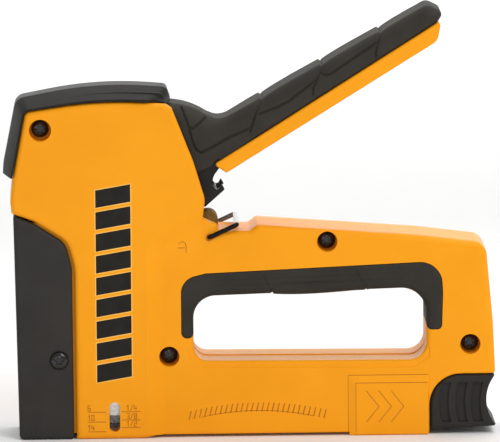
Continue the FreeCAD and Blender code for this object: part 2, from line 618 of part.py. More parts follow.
# ---- Striker ------------------------------------------------------------------------------------------
def striker_carrier():
    beside = box((-68.5, -50.0), (COLUMN_HALF, 20.0), (70.0, 90.0))
    shelf = box((-87.75, -57.6), (-8.4, 8.4), (SHELF_BOTTOM, SHELF_TOP))
    shelf = shelf.cut(beside).cut(mirrored(beside))
    front = box((-87.75, -84.0), (-6.5, 6.5), (68.0, SHELF_TOP))
    column = prism([(-68.8, SHELF_BOTTOM), (-57.6, SHELF_BOTTOM, 1.0), (-57.6, 104.6, 3.0),
                    (-68.8, 104.6, 2.0)], -COLUMN_HALF, COLUMN_HALF)
    window_low = LIFTER[1] - ROLLER_R - SLIDING
    window_high = LIFTER[1] + ROLLER_R + SLIDING
    window = prism([(-67.4, window_low, 0.8), (-59.2, window_low, 0.8), (-59.2, window_high, 0.8),
                    (-67.4, window_high, 0.8)], -20.0, 20.0)
    spigot = Part.makeCylinder(SPIGOT_R, 3.0, Vector(SPRING_X, 0, SHELF_TOP))
    carrier = fuse([shelf, front, column.cut(window), spigot])
    for z in RIVET_HEIGHTS:
        carrier = carrier.cut(along(0.0, z, RIVET_HOLE_R, -90.0, -83.0))
    return carrier


def driver_blade():
    blade = box((BLADE_FRONT, BLADE_FRONT + BLADE_THICK), (-BLADE_HALF, BLADE_HALF), (0.6, 83.0))
    for z in RIVET_HEIGHTS:
        blade = blade.cut(along(0.0, z, RIVET_HOLE_R, -95.0, -80.0))
    return blade


def blade_rivets():
    return Part.makeCompound([along(0.0, z, RIVET_R, BLADE_FRONT, -84.0) for z in RIVET_HEIGHTS])


def power_spring():
    low = SHELF_TOP + SPRING_WIRE_R + 0.1
    high = SEAT_BOTTOM - SPRING_WIRE_R - 0.1
    return coil(Vector(SPRING_X, 0, low), Vector(0, 0, 1), 5.5, high - low, SPRING_MEAN_R, SPRING_WIRE_R)


# ---- Wire bail ----------------------------------------------------------------------------------------
def wire_bail():
    """A wire hoop: crossbar, two legs and two inward ends that turn in the housing."""
    stub = HANDLE_CAVITY_HALF - 1.0
    dx = BAIL_END[0] - BAIL_PIVOT[0]
    dz = BAIL_END[1] - BAIL_PIVOT[1]
    length = math.hypot(dx, dz)
    leg = Vector(dx / length, 0, dz / length)
    low = at(*BAIL_PIVOT)
    high = at(*BAIL_END)
    side = Vector(0, 1, 0)
    edges = []
    bend = BAIL_BEND * (1.0 - math.sqrt(0.5))

    def turn(at_corner, first, second):
        start = at_corner + first * BAIL_BEND
        end = at_corner + second * BAIL_BEND
        middle = at_corner + (first + second) * bend
        edges.append(Part.Arc(start, middle, end).toShape())
        return start, end

    near_low = low - side * BAIL_HALF
    near_high = high - side * BAIL_HALF
    far_high = high + side * BAIL_HALF
    far_low = low + side * BAIL_HALF
    first = turn(near_low, side, leg)
    second = turn(near_high, leg * -1, side)
    third = turn(far_high, side * -1, leg * -1)
    fourth = turn(far_low, leg, side * -1)
    start = low - side * stub
    end = low + side * stub
    for a, b in ((start, first[0]), (first[1], second[0]), (second[1], third[0]), (third[1], fourth[0]),
                 (fourth[1], end)):
        edges.append(Part.LineSegment(a, b).toShape())
    path = Part.Wire(Part.__sortEdges__(edges))
    section = Part.Wire(Part.Circle(start, side, BAIL_WIRE_R).toShape())
    return path.makePipeShell([section], True, False)


# ---- Magazine -----------------------------------------------------------------------------------------
def finger_groove(x, width):
    """A bowed groove in the latch's -Y side: its left edge passes x at mid height."""
    low, high = GROOVE_ENDS
    middle = (low + high) / 2.0
    y = -LATCH_HALF - 1.0
    left = Part.Arc(at(x + GROOVE_BOW, low, y), at(x, middle, y), at(x + GROOVE_BOW, high, y))
    right = Part.Arc(at(x + width + GROOVE_BOW, high, y), at(x + width, middle, y),
                     at(x + width + GROOVE_BOW, low, y))
    top = Part.LineSegment(left.EndPoint, right.StartPoint)
    bottom = Part.LineSegment(right.EndPoint, left.StartPoint)
    face = Part.Face(Part.Wire([left.toShape(), top.toShape(), right.toShape(), bottom.toShape()]))
    return face.extrude(Vector(0, 1.0 + GROOVE_DEPTH, 0))


def rear_latch():
    top = LATCH_POCKET - 0.3
    corners = [(LATCH_LEFT, 1.7, 1.0), (LATCH_LEFT, top, 12.4), (97.6, top, 0.6), (99.3, top - 1.1, 0.8),
               (99.0, 3.0, 1.4)]
    latch = soft_prism(corners, LATCH_HALF, 1.6)
    scoop = across(111.0, 14.0, 16.0, -20.0, 20.0)
    latch = latch.cut(scoop)
    for x, width in FINGER_GROOVES:
        groove = finger_groove(x, width)
        latch = latch.cut(groove).cut(mirrored(groove))
    pocket = box((70.0, 90.0), (-RAIL_HALF - SEAT_GAP, RAIL_HALF + SEAT_GAP),
                 (RAIL_TAIL[1] - SEAT_GAP, RAIL_TOP + SEAT_GAP))
    spring_pocket = box((76.0, 92.0), (-4.0, 4.0), (16.0, 21.0))
    rod_hole = along(0.0, ROD_Z, ROD_R + RUNNING, 88.0, 93.2)
    pin_hole = across(*RAIL_PIN, RAIL_PIN_R + RUNNING, -8.0, 8.0)
    return latch.cut(fuse([pocket, spring_pocket, rod_hole, pin_hole]))


def staple_rail():
    outer = box((RAIL_FRONT, 89.8), (-RAIL_HALF, RAIL_HALF), (RAIL_BOTTOM, RAIL_TOP))
    outer = fuse([outer, box((RAIL_TAIL[0], 89.8), (-RAIL_HALF, RAIL_HALF), (RAIL_TAIL[1], RAIL_TOP))])
    inner_half = RAIL_HALF - RAIL_WALL
    inner = box((RAIL_FRONT - 1.0, 91.0), (-inner_half, inner_half), (0.0, RAIL_TOP - RAIL_WALL))
    return outer.cut(inner).cut(across(*RAIL_PIN, RAIL_PIN_R + RUNNING, -8.0, 8.0))


def pusher_guide_rod():
    return along(0.0, ROD_Z, ROD_R, -20.0, 93.0)


def rail_pin():
    return across(*RAIL_PIN, RAIL_PIN_R, -7.8, 7.8)


def latch_spring():
    """Bent leaf that clicks the latch home, above the rail's rear end."""
    leaf = prism([(76.6, 17.0), (91.4, 17.0), (91.4, 17.5), (84.0, 20.4), (76.6, 17.5)], -3.6, 3.6)
    return leaf.cut(prism([(78.0, 16.0), (90.0, 16.0), (90.0, 17.1), (84.0, 19.6), (78.0, 17.1)], -5.0, 5.0))


def staple_strip():
    outer = box((RAIL_FRONT - 0.2, PUSHER_FRONT - 0.1), (-CROWN_HALF, CROWN_HALF),
                (CROWN_TOP - LEG_LENGTH, CROWN_TOP))
    inner = box((-100.0, 0.0), (-RAIL_HALF - 0.25, RAIL_HALF + 0.25), (0.0, RAIL_TOP + SEAT_GAP))
    return outer.cut(inner)


def staple_pusher():
    block = box((PUSHER_FRONT, PUSHER_FRONT + PUSHER_LENGTH), (-CROWN_HALF, CROWN_HALF),
                (FLOOR_TOP + 0.3, CROWN_TOP + 0.2))
    gap = 0.2
    rail = box((-40.0, 40.0), (-RAIL_HALF - gap, RAIL_HALF + gap), (RAIL_BOTTOM - gap, RAIL_TOP + gap))
    core = box((-40.0, 40.0), (-RAIL_HALF + RAIL_WALL + gap, RAIL_HALF - RAIL_WALL - gap),
               (0.0, RAIL_TOP - RAIL_WALL - gap))
    body = block.cut(rail.cut(core))
    return body.cut(along(0.0, ROD_Z, ROD_R + 0.1, -40.0, 40.0))


def pusher_spring():
    low = PUSHER_FRONT + PUSHER_LENGTH + 0.7
    return coil(Vector(low, 0, ROD_Z), Vector(1, 0, 0), 26.0, 89.0 - low, 2.2, 0.45)


# ---- Write every piece --------------------------------------------------------------------------------
def main():
    os.makedirs(OUT, exist_ok=True)
    body = housing()
    save("housing_left", housing_half(body, -1))
    save("housing_right", housing_half(body, 1))
    pieces = [top_cap, nose_cover, nose_plate, handle_grip, magazine_track, striker_guide, spring_seat,
              shock_absorber, lever_pin, housing_screws, nose_screws, lever_bumper, bumper_pin, return_spring,
              lever_frame, lever_strip, lever_grip, lifter_roller, lifter_pin, striker_carrier,
              driver_blade, blade_rivets, power_spring, wire_bail, rear_latch, staple_rail,
              pusher_guide_rod, rail_pin, latch_spring, staple_strip, staple_pusher, pusher_spring]
    for piece in pieces:
        save(piece.__name__, piece())


main()
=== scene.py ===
import json
import math

import bmesh
import bpy
from mathutils import Matrix, Quaternion, Vector
from mathutils.bvhtree import BVHTree


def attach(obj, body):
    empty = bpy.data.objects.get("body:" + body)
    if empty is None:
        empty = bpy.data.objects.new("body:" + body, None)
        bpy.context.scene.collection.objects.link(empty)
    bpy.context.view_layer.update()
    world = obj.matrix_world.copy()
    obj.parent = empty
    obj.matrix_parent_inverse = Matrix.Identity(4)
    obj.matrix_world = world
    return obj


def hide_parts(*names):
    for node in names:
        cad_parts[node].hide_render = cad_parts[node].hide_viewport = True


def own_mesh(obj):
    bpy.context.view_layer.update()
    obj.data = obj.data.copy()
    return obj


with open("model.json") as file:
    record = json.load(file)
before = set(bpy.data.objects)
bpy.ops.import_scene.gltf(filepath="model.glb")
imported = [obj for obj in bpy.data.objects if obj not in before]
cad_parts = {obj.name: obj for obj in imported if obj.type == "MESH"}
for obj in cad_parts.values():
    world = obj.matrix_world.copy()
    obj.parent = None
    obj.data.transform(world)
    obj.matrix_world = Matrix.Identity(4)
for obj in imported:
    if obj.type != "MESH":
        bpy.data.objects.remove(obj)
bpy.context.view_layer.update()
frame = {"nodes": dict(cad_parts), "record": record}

MM = 0.001

# ---- Camera: a long lens, a little above the tool and a touch towards its nose --------------------------
CAMERA_AIM = Vector((0.5, 0.0, 85.85)) * MM
CAMERA_DISTANCE = 3000.0 * MM
CAMERA_ELEVATION = math.radians(8.8)
CAMERA_YAW = math.radians(1.6)
CAMERA_ROLL = math.radians(0.43)
VIEW_WIDTH = 201.8 * MM
SENSOR = 36.0
CLIP = (0.01, 50.0)     # metres


def make_camera():
    data = bpy.data.cameras.new("camera")
    data.sensor_width = SENSOR
    data.lens = SENSOR * CAMERA_DISTANCE / VIEW_WIDTH
    data.clip_start = CLIP[0]
    data.clip_end = CLIP[1]
    camera = bpy.data.objects.new("camera", data)
    bpy.context.scene.collection.objects.link(camera)
    level_back = Vector((-math.sin(CAMERA_YAW), -math.cos(CAMERA_YAW), 0.0))
    back = level_back * math.cos(CAMERA_ELEVATION) + Vector((0.0, 0.0, math.sin(CAMERA_ELEVATION)))
    camera.location = CAMERA_AIM + back * CAMERA_DISTANCE
    camera.rotation_mode = "QUATERNION"
    level = (-back).to_track_quat("-Z", "Y")
    camera.rotation_quaternion = level @ Quaternion((0.0, 0.0, 1.0), -CAMERA_ROLL)
    bpy.context.scene.camera = camera


# ---- Studio, in metres ----------------------------------------------------------------------------------
WORLD_STRENGTH = 0.50
LIGHTS = {              # place, what it is aimed at, width and height, watts
    "key": ((0.55, -0.8, 0.95), (0.0, 0.0, 0.08), (0.7, 0.7), 6.6),
    "fill": ((-0.25, -1.3, 0.22), (0.0, 0.0, 0.0), (0.8, 0.3), 1.6),
    "top": ((0.1, 0.25, 1.0), (0.0, 0.0, 0.1), (0.9, 0.6), 5.4),
    "wall": ((0.0, 2.2, 3.2), (0.0, 6.5, 1.0), (6.0, 2.0), 540.0)}
FLOOR_HALF = 7.0
FLOOR_FRONT = -6.0
FLOOR_DEPTH = 6.0       # where the floor starts to sweep up
SWEEP_RADIUS = 2.0
SWEEP_STEPS = 12
WALL_TOP = 6.0


def area_light(name, place, aim, size, power):
    data = bpy.data.lights.new(name, "AREA")
    data.shape = "RECTANGLE"
    data.size = size[0]
    data.size_y = size[1]
    data.energy = power
    light = bpy.data.objects.new(name, data)
    light.location = place
    light.rotation_mode = "QUATERNION"
    light.rotation_quaternion = (Vector(aim) - Vector(place)).to_track_quat("-Z", "Y")
    bpy.context.scene.collection.objects.link(light)


def make_studio():
    world = bpy.data.worlds.new("studio")
    world.use_nodes = True
    background = world.node_tree.nodes["Background"]
    background.inputs["Color"].default_value = (1.0, 1.0, 1.0, 1.0)
    background.inputs["Strength"].default_value = WORLD_STRENGTH
    bpy.context.scene.world = world
    for name, (place, aim, size, power) in LIGHTS.items():
        area_light(name, place, aim, size, power)


def make_floor(material):
    """A pale floor that sweeps up behind the tool."""
    mesh = bpy.data.meshes.new("studio_floor")
    build = bmesh.new()
    profile = [(FLOOR_FRONT, 0.0), (FLOOR_DEPTH, 0.0)]
    for i in range(1, SWEEP_STEPS + 1):
        turn = math.radians(90.0 * i / SWEEP_STEPS)
        back = FLOOR_DEPTH + SWEEP_RADIUS * math.sin(turn)
        profile.append((back, SWEEP_RADIUS - SWEEP_RADIUS * math.cos(turn)))
    profile.append((FLOOR_DEPTH + SWEEP_RADIUS, WALL_TOP))
    rows = [[build.verts.new((x, y, z)) for x in (-FLOOR_HALF, FLOOR_HALF)] for y, z in profile]
    for low, high in zip(rows, rows[1:]):
        build.faces.new((low[0], low[1], high[1], high[0]))
    build.to_mesh(mesh)
    build.free()
    for face in mesh.polygons:
        face.use_smooth = True
    floor = bpy.data.objects.new("studio_floor", mesh)
    floor.data.materials.append(material)
    bpy.context.scene.collection.objects.link(floor)


# ---- Materials ----------------------------------------------------------------------------------------
SATIN = 0.12            # specular level of the paint, plastics and rubber
COVER_TONE = 0.032
LATCH_TONE = 0.028
# painted shade: the cap is the cover plastic at a darker tone, standing in for the shade on its shoulders
# and skirt
CAP_SHADED_TONE = 0.017
BAIL_LEGS = (13.2 * MM, 15.0 * MM)  # the painted highlight on the bail's crossbar ends between these distances from the middle


class Nodes:
    """Short calls for building one material's nodes."""

    def __init__(self, name):
        self.material = bpy.data.materials.new(name)
        self.material.use_nodes = True
        self.tree = self.material.node_tree
        self.shader = self.tree.nodes["Principled BSDF"]
        self.place = self.tree.nodes.new("ShaderNodeTexCoord").outputs["Object"]

    def set(self, **values):
        for key, value in values.items():
            self.shader.inputs[key.replace("_", " ")].default_value = value

    def link(self, output, node_input):
        self.tree.links.new(output, node_input)

    def noise(self, scale, detail=3.0):
        node = self.tree.nodes.new("ShaderNodeTexNoise")
        node.inputs["Scale"].default_value = scale
        node.inputs["Detail"].default_value = detail
        self.link(self.place, node.inputs["Vector"])
        return node.outputs["Fac"]

    def cells(self, scale):
        node = self.tree.nodes.new("ShaderNodeTexVoronoi")
        node.inputs["Scale"].default_value = scale
        self.link(self.place, node.inputs["Vector"])
        return node.outputs["Distance"]

    def off_middle(self, axis, start, end):
        """0 to 1 as the distance from the middle along an axis goes from start to end, in metres."""
        parts = self.tree.nodes.new("ShaderNodeSeparateXYZ")
        self.link(self.place, parts.inputs["Vector"])
        size = self.tree.nodes.new("ShaderNodeMath")
        size.operation = "ABSOLUTE"
        self.link(parts.outputs[axis], size.inputs[0])
        node = self.tree.nodes.new("ShaderNodeMapRange")
        node.inputs["From Min"].default_value = start
        node.inputs["From Max"].default_value = end
        self.link(size.outputs["Value"], node.inputs["Value"])
        return node.outputs["Result"]

    def between(self, factor, low, high, start=0.35, end=0.65):
        """A number or colour that runs from low to high as factor goes from start to end."""
        ramp = self.tree.nodes.new("ShaderNodeValToRGB")
        ramp.color_ramp.elements[0].position = start
        ramp.color_ramp.elements[1].position = end
        for element, value in zip(ramp.color_ramp.elements, (low, high)):
            element.color = (value, value, value, 1.0) if isinstance(value, float) else (*value, 1.0)
        self.link(factor, ramp.inputs["Fac"])
        return ramp.outputs["Color"]

    def colour(self, output):
        self.link(output, self.shader.inputs["Base Color"])

    def roughness(self, output):
        self.link(output, self.shader.inputs["Roughness"])

    def bump(self, height, distance, strength):
        node = self.tree.nodes.new("ShaderNodeBump")
        node.inputs["Distance"].default_value = distance
        node.inputs["Strength"].default_value = strength
        self.link(height, node.inputs["Height"])
        self.link(node.outputs["Normal"], self.shader.inputs["Normal"])


def yellow_paint():
    m = Nodes("yellow_paint")
    broad = m.noise(35.0, 2.0)
    m.colour(m.between(broad, (0.88, 0.330, 0.006), (0.92, 0.352, 0.008)))
    fine = m.noise(900.0, 2.0)
    m.roughness(m.between(fine, 0.34, 0.44))
    m.bump(m.noise(420.0, 2.0), 0.00002, 0.16)
    m.set(Specular_IOR_Level=SATIN)
    return m.material


def black_plastic(name, tone):
    """Finely textured plastic, a warm black of a given tone."""
    m = Nodes(name)
    broad = m.noise(60.0, 3.0)
    low = (tone * 0.92, tone * 0.85, tone * 0.76)
    high = (tone * 1.10, tone * 1.02, tone * 0.91)
    m.colour(m.between(broad, low, high))
    grain = m.noise(2600.0, 3.0)
    m.roughness(m.between(grain, 0.42, 0.56))
    m.bump(grain, 0.00003, 0.6)
    m.set(Specular_IOR_Level=SATIN)
    return m.material


def black_rubber():
    m = Nodes("black_rubber")
    broad = m.noise(45.0, 3.0)
    m.colour(m.between(broad, (0.030, 0.0272, 0.0225), (0.038, 0.0345, 0.0285)))
    grain = m.cells(2200.0)
    m.roughness(m.between(grain, 0.56, 0.70, 0.1, 0.8))
    m.bump(grain, 0.00004, 0.5)
    m.set(Specular_IOR_Level=SATIN)
    return m.material


def steel(name, base, rough_low, rough_high):
    m = Nodes(name)
    m.set(Metallic=1.0)
    broad = m.noise(30.0, 3.0)
    m.colour(m.between(broad, tuple(c * 0.9 for c in base), base))
    fine = m.noise(1400.0, 3.0)
    m.roughness(m.between(fine, rough_low, rough_high))
    m.bump(fine, 0.000015, 0.4)
    return m.material


def black_oxide():
    m = Nodes("black_oxide_steel")
    broad = m.noise(70.0, 3.0)
    m.colour(m.between(broad, (0.0105, 0.00952, 0.0084), (0.0168, 0.0154, 0.014)))
    fine = m.noise(1500.0, 3.0)
    m.roughness(m.between(fine, 0.34, 0.5))
    m.bump(fine, 0.00002, 0.5)
    m.set(Metallic=0.2, Specular_IOR_Level=0.2)
    return m.material


def screw_black():
    m = Nodes("black_screw_steel")
    broad = m.noise(70.0, 3.0)
    m.colour(m.between(broad, (0.006, 0.0055, 0.005), (0.012, 0.011, 0.010)))
    fine = m.noise(1500.0, 3.0)
    m.roughness(m.between(fine, 0.14, 0.22))
    m.bump(fine, 0.00001, 0.4)
    m.set(Specular_IOR_Level=0.5)
    return m.material


def wire_painted_highlight():
    """Black wire with a painted highlight: its crossbar is coloured bright."""
    m = Nodes("wire_painted_highlight")
    highlight_fade = m.off_middle("Y", *BAIL_LEGS)
    # painted highlight: light grey on the crossbar, black on the legs
    m.colour(m.between(highlight_fade, (0.34, 0.33, 0.31), (0.014, 0.012, 0.011), 0.1, 0.9))
    fine = m.noise(1500.0, 3.0)
    m.roughness(m.between(fine, 0.24, 0.40))
    m.bump(fine, 0.000015, 0.4)
    m.set(Metallic=0.9)
    return m.material


def urethane():
    m = Nodes("amber_urethane")
    broad = m.noise(300.0, 2.0)
    m.colour(m.between(broad, (0.22, 0.125, 0.030), (0.30, 0.175, 0.048)))
    m.roughness(m.between(m.noise(900.0), 0.62, 0.78))
    m.set(Specular_IOR_Level=0.08)
    return m.material


def print_ink():
    m = Nodes("print_ink")
    m.colour(m.between(m.noise(200.0), (0.010, 0.009, 0.007), (0.014, 0.013, 0.010)))
    m.roughness(m.between(m.noise(1800.0), 0.36, 0.48))
    m.set(Specular_IOR_Level=0.15)
    return m.material


def painted_mark_shade():
    """The yellow paint darkened as painted shade on the cast scale and marks."""
    m = Nodes("cast_mark_shade")
    m.colour(m.between(m.noise(300.0), (0.44, 0.14, 0.005), (0.52, 0.17, 0.007)))
    m.roughness(m.between(m.noise(1500.0), 0.42, 0.55))
    m.set(Specular_IOR_Level=0.2)
    return m.material


def painted_label_halo():
    """A painted highlight: the pale halo around the printed bars."""
    m = Nodes("label_edge")
    m.colour(m.between(m.noise(200.0), (0.93, 0.50, 0.10), (0.96, 0.55, 0.13)))
    m.roughness(m.between(m.noise(1800.0), 0.40, 0.52))
    m.set(Specular_IOR_Level=0.15)
    return m.material


def floor_paint():
    m = Nodes("floor_paint")
    m.colour(m.between(m.noise(3.0), (0.90, 0.90, 0.895), (0.92, 0.92, 0.915)))
    m.set(Roughness=0.8, Specular_IOR_Level=0.1)
    return m.material


def make_materials():
    """One material for each slot of the record."""
    yellow = yellow_paint()
    return {"yellow_casting": yellow, "yellow_strip": yellow,
            "black_cover": black_plastic("black_cover_plastic", COVER_TONE),
            "black_rubber": black_rubber(),
            "black_latch": black_plastic("black_latch_plastic", LATCH_TONE),
            "dark_steel": black_oxide(),
            "bright_steel": steel("zinc_steel", (0.66, 0.66, 0.65), 0.22, 0.38),
            "spring_steel": steel("spring_steel", (0.42, 0.41, 0.40), 0.28, 0.42),
            "bail_wire": wire_painted_highlight(),
            "staple_wire": steel("staple_wire_steel", (0.75, 0.75, 0.74), 0.2, 0.32),
            "black_screw": screw_black(),
            "amber_urethane": urethane()}


# ---- Shape tools: outlines are in mm, in the XZ plane ---------------------------------------------------
CORNER_STEPS = 10


def rounded(corners):
    """Points along an open run of (x, z) or (x, z, radius) corners."""
    places = [Vector(corner[:2]) for corner in corners]
    points = []
    for i, corner in enumerate(corners):
        if len(corner) < 3 or i in (0, len(corners) - 1):
            points.append(places[i])
            continue
        radius = corner[2]
        back = (places[i - 1] - places[i]).normalized()
        ahead = (places[i + 1] - places[i]).normalized()
        half = back.angle(ahead) / 2.0
        centre = places[i] + (back + ahead).normalized() * (radius / math.sin(half))
        start = places[i] + back * (radius / math.tan(half)) - centre
        end = places[i] + ahead * (radius / math.tan(half)) - centre
        turn = math.copysign(math.pi - 2.0 * half, start.cross(end))
        for k in range(CORNER_STEPS + 1):
            points.append(centre + Matrix.Rotation(turn * k / CORNER_STEPS, 2) @ start)
    return points


def evenly(points, count):
    """The same run as count points, evenly spaced."""
    reach = [0.0]
    for a, b in zip(points, points[1:]):
        reach.append(reach[-1] + (b - a).length)
    spaced = []
    leg = 0
    for k in range(count):
        wanted = reach[-1] * k / (count - 1)
        while leg < len(points) - 2 and reach[leg + 1] < wanted:
            leg += 1
        share = (wanted - reach[leg]) / max(reach[leg + 1] - reach[leg], 1e-9)
        spaced.append(points[leg].lerp(points[leg + 1], min(share, 1.0)))
    return spaced


def smooth(value):
    """0 to 1 with level ends."""
    value = min(max(value, 0.0), 1.0)
    return value * value * (3.0 - 2.0 * value)


RIBBON_HALF = 60.0      # wider than any piece, mm


class Ribbon:
    """A run of XZ points drawn out across Y, for finding how far a place is from it."""

    def __init__(self, points):
        verts = []
        for point in points:
            verts.append(Vector((point[0], -RIBBON_HALF, point[1])))
            verts.append(Vector((point[0], RIBBON_HALF, point[1])))
        quads = [(2 * i, 2 * i + 2, 2 * i + 3, 2 * i + 1) for i in range(len(points) - 1)]
        self.tree = BVHTree.FromPolygons(verts, quads)

    def near(self, place, reach):
        """(distance, distance towards the run's left, direction to its left), or None beyond reach."""
        spot, left, _, distance = self.tree.find_nearest(place, reach)
        if spot is None:
            return None
        return distance, (place - spot).dot(left), left


def new_object(name, mesh, body, slot_name):
    """A smooth-shaded piece that rides on a body and wears a slot's material."""
    piece = bpy.data.objects.new(name, mesh)
    bpy.context.scene.collection.objects.link(piece)
    mesh.materials.clear()
    mesh.materials.append(materials[slot_name])
    for face in mesh.polygons:
        face.use_smooth = True
    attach(piece, body)
    return piece


def fine_mesh(name, source, voxel):
    """The source mesh divided into even small faces, voxel mm across."""
    helper = bpy.data.objects.new(name + "_helper", source)
    bpy.context.scene.collection.objects.link(helper)
    remesh = helper.modifiers.new("even", "REMESH")
    remesh.mode = "VOXEL"
    remesh.voxel_size = voxel * MM
    graph = bpy.context.evaluated_depsgraph_get()
    mesh = bpy.data.meshes.new_from_object(helper.evaluated_get(graph))
    mesh.name = name
    bpy.data.objects.remove(helper)
    return mesh


def reshape(mesh, move):
    """Move every point: move takes a place in mm and its normal, and gives a place in mm."""
    normals = [n.vector.copy() for n in mesh.vertex_normals]
    for vertex, normal in zip(mesh.vertices, normals):
        vertex.co = move(vertex.co / MM, normal) * MM
    mesh.update()


def round_edge(place, half, ribbon, radius, solid_side):
    """Round the edge between a side at half width and the face along a ribbon.

    solid_side is 1 where the piece lies to the ribbon's left, and -1 to its right.
    """
    near = ribbon.near(place, radius)
    inset = half - abs(place.y)
    if near is None or inset >= radius:
        return place
    depth = near[1] * solid_side
    side = radius - inset
    down = radius - depth
    length = math.hypot(side, down)
    if length <= radius:
        return place
    moved = place + near[2] * solid_side * ((radius - down * radius / length) - depth)
    moved.y = math.copysign(half - radius + side * radius / length, place.y)
    return moved


def grid_piece(name, loops, body, slot_name):
    """A closed skin over loops of places in mm, with both ends filled."""
    mesh = bpy.data.meshes.new(name)
    build = bmesh.new()
    rows = [[build.verts.new(place * MM) for place in loop] for loop in loops]
    count = len(loops[0])
    for low, high in zip(rows, rows[1:]):
        for i in range(count):
            j = (i + 1) % count
            build.faces.new((low[i], low[j], high[j], high[i]))
    build.faces.new(rows[0][::-1])
    build.faces.new(rows[-1])
    bmesh.ops.recalc_face_normals(build, faces=build.faces)
    build.to_mesh(mesh)
    build.free()
    return new_object(name, mesh, body, slot_name)


def crease(piece, degrees):
    """Keep edges that turn by more than this sharp under smooth shading."""
    build = bmesh.new()
    build.from_mesh(piece.data)
    for edge in build.edges:
        if len(edge.link_faces) == 2 and edge.calc_face_angle(0.0) > math.radians(degrees):
            edge.smooth = False
    build.to_mesh(piece.data)
    build.free()


# ---- Top cap --------------------------------------------------------------------------------------------
CAP_OUTER = [(-98.9, 107.4), (-98.7, 110.6, 2.0), (-93.3, 137.6, 4.5), (-60.0, 143.9, 150.0),
             (-33.1, 141.7, 1.8), (-31.4, 137.0)]
CAP_INNER = [(-95.2, 106.5), (-90.0, 133.6, 3.0), (-60.0, 138.1, 160.0), (-33.5, 136.4)]
CAP_HALF = 16.2
CAP_FLAT = 5.6          # half width of the flat crest
CAP_FALL = 5.3          # how far the shoulders fall from the crest to the skirt
CAP_BULGE = (0.60, 0.50)    # how far the shoulder's curve leans out, as shares of its width and fall
CAP_FALL_SHARE = 0.84   # the most that the shoulders fall, as a share of the cap's depth
CAP_WALL = 2.4
CAP_WALL_SHARE = 0.8    # the thickest that the crest's wall gets, as a share of the cap's depth
CAP_RIM_IN = 12.9       # half widths of the skirt's inner edge and of the hollow
CAP_HOLLOW = 12.0
CAP_PINCH = 2.4         # how much narrower each side is at the rear end
CAP_PINCH_FROM = -38.0
CAP_PINCH_LENGTH = 5.0
CAP_STATIONS = (34, 70)     # loops along the nose end and along the top
SKIRT_SHARES = (0.25, 0.5, 0.75, 1.0)
SHOULDER_STEPS = 12
CAP_CREASE = 15.0       # degrees


def split_run(corners, corner, counts):
    """Evenly spaced points in two runs that meet at a corner."""
    points = rounded(corners)
    middle = min(range(len(points)), key=lambda i: (points[i] - Vector(corner)).length)
    return evenly(points[:middle + 1], counts[0])[:-1] + evenly(points[middle:], counts[1])


def top_cap(material):
    """A crowned cover, as loops across the tool that follow its outline."""
    outer = split_run(CAP_OUTER, CAP_OUTER[2][:2], CAP_STATIONS)
    inner = split_run(CAP_INNER, CAP_INNER[1][:2], CAP_STATIONS)
    loops = []
    for out, inn in zip(outer, inner):
        thick = (inn - out).length
        inward = (inn - out).normalized()
        fall = min(CAP_FALL, thick * CAP_FALL_SHARE)
        wall = min(CAP_WALL, thick * CAP_WALL_SHARE)
        half = CAP_HALF - CAP_PINCH * smooth((out.x - CAP_PINCH_FROM) / CAP_PINCH_LENGTH)
        section = [(0.0, 0.0), (CAP_FLAT * 0.5, 0.0), (CAP_FLAT, 0.0)]
        for k in range(1, SHOULDER_STEPS + 1):
            share = k / SHOULDER_STEPS
            bulge = 2.0 * share * (1.0 - share)
            section.append((CAP_FLAT + (half - CAP_FLAT) * (bulge * CAP_BULGE[0] + share * share),
                            fall * (bulge * CAP_BULGE[1] + share * share)))
        section += [(half, fall + (thick - fall) * share) for share in SKIRT_SHARES]
        section += [(CAP_RIM_IN, thick), (CAP_HOLLOW, wall), (0.0, wall)]
        right = [Vector((out.x + inward.x * down, y, out.y + inward.y * down)) for y, down in section]
        left = [Vector((p.x, -p.y, p.z)) for p in right[1:-1]]
        loops.append(right + left[::-1])
    piece = grid_piece("top_cap_shell", loops, "housing", "black_cover")
    # painted shade: the cap wears a darker copy of the cover plastic
    piece.data.materials[0] = material
    crease(piece, CAP_CREASE)
    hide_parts("top_cap")


# ---- Lever grip -----------------------------------------------------------------------------------------
PIVOT = Vector((-33.1, 106.8))
LEVER_ROOT = Vector((-14.3, 110.7))
LEVER_SLOPE = math.radians(32.1)
HUB_R = 28.6
HUB_ANGLES = range(130, 58, -3)     # about the pivot, degrees
ARM_START = (-12.3, 127.6, 9.0)
ARM_CORNERS = [(33.0, 12.4, 40.0), (107.0, 8.0, 3.6), (110.8, 1.6, 2.2)]    # along, above, radius
ARM_END = (107.2, 0.0)  # along, above
HUB_HALF = 11.0
GRIP_HALF = 13.2
BLEND_START = 7.0       # where the narrow hub begins to widen into the arm, along the lever
BLEND_LENGTH = 20.0
GRIP_ROUND = 5.4
GRIP_VOXEL = 0.34
CHANNEL_HALF = 9.1      # inside of the grip, over the lever's plates
OVER_CHANNEL = CHANNEL_HALF + 0.5   # nearer the middle than this, only the crown shows
INWARD_FACE = -0.2      # a side that faces the middle more than this is the channel's
CROWN_DEPTH = 4.5       # how far below the crest the rubber over the channel goes
GROOVE_HALF = 0.62
CROSS_DEPTH = 1.1
LONG_DEPTH = 1.0
LONG_REACH = 0.8
LONG_FROM = CHANNEL_HALF - 1.0      # the long grooves are on the sides only
CROSS_POINTS = 20
LONG_POINTS = 24
STEP_DEPTH = 0.75       # how far the grip steps down beyond each cross groove
STEP_FADE = 3.2
STEP_REACH = 7.0        # how far down from the crest the step goes
SEARCH = 9.0            # how far from a groove or the crest still counts


def lever_point(along, above):
    """The place at these distances along the lever's arm and square to it."""
    return LEVER_ROOT + Matrix.Rotation(LEVER_SLOPE, 2) @ Vector((along, above))


def about_pivot(radius, degrees):
    turn = math.radians(degrees)
    return PIVOT + radius * Vector((math.cos(turn), math.sin(turn)))


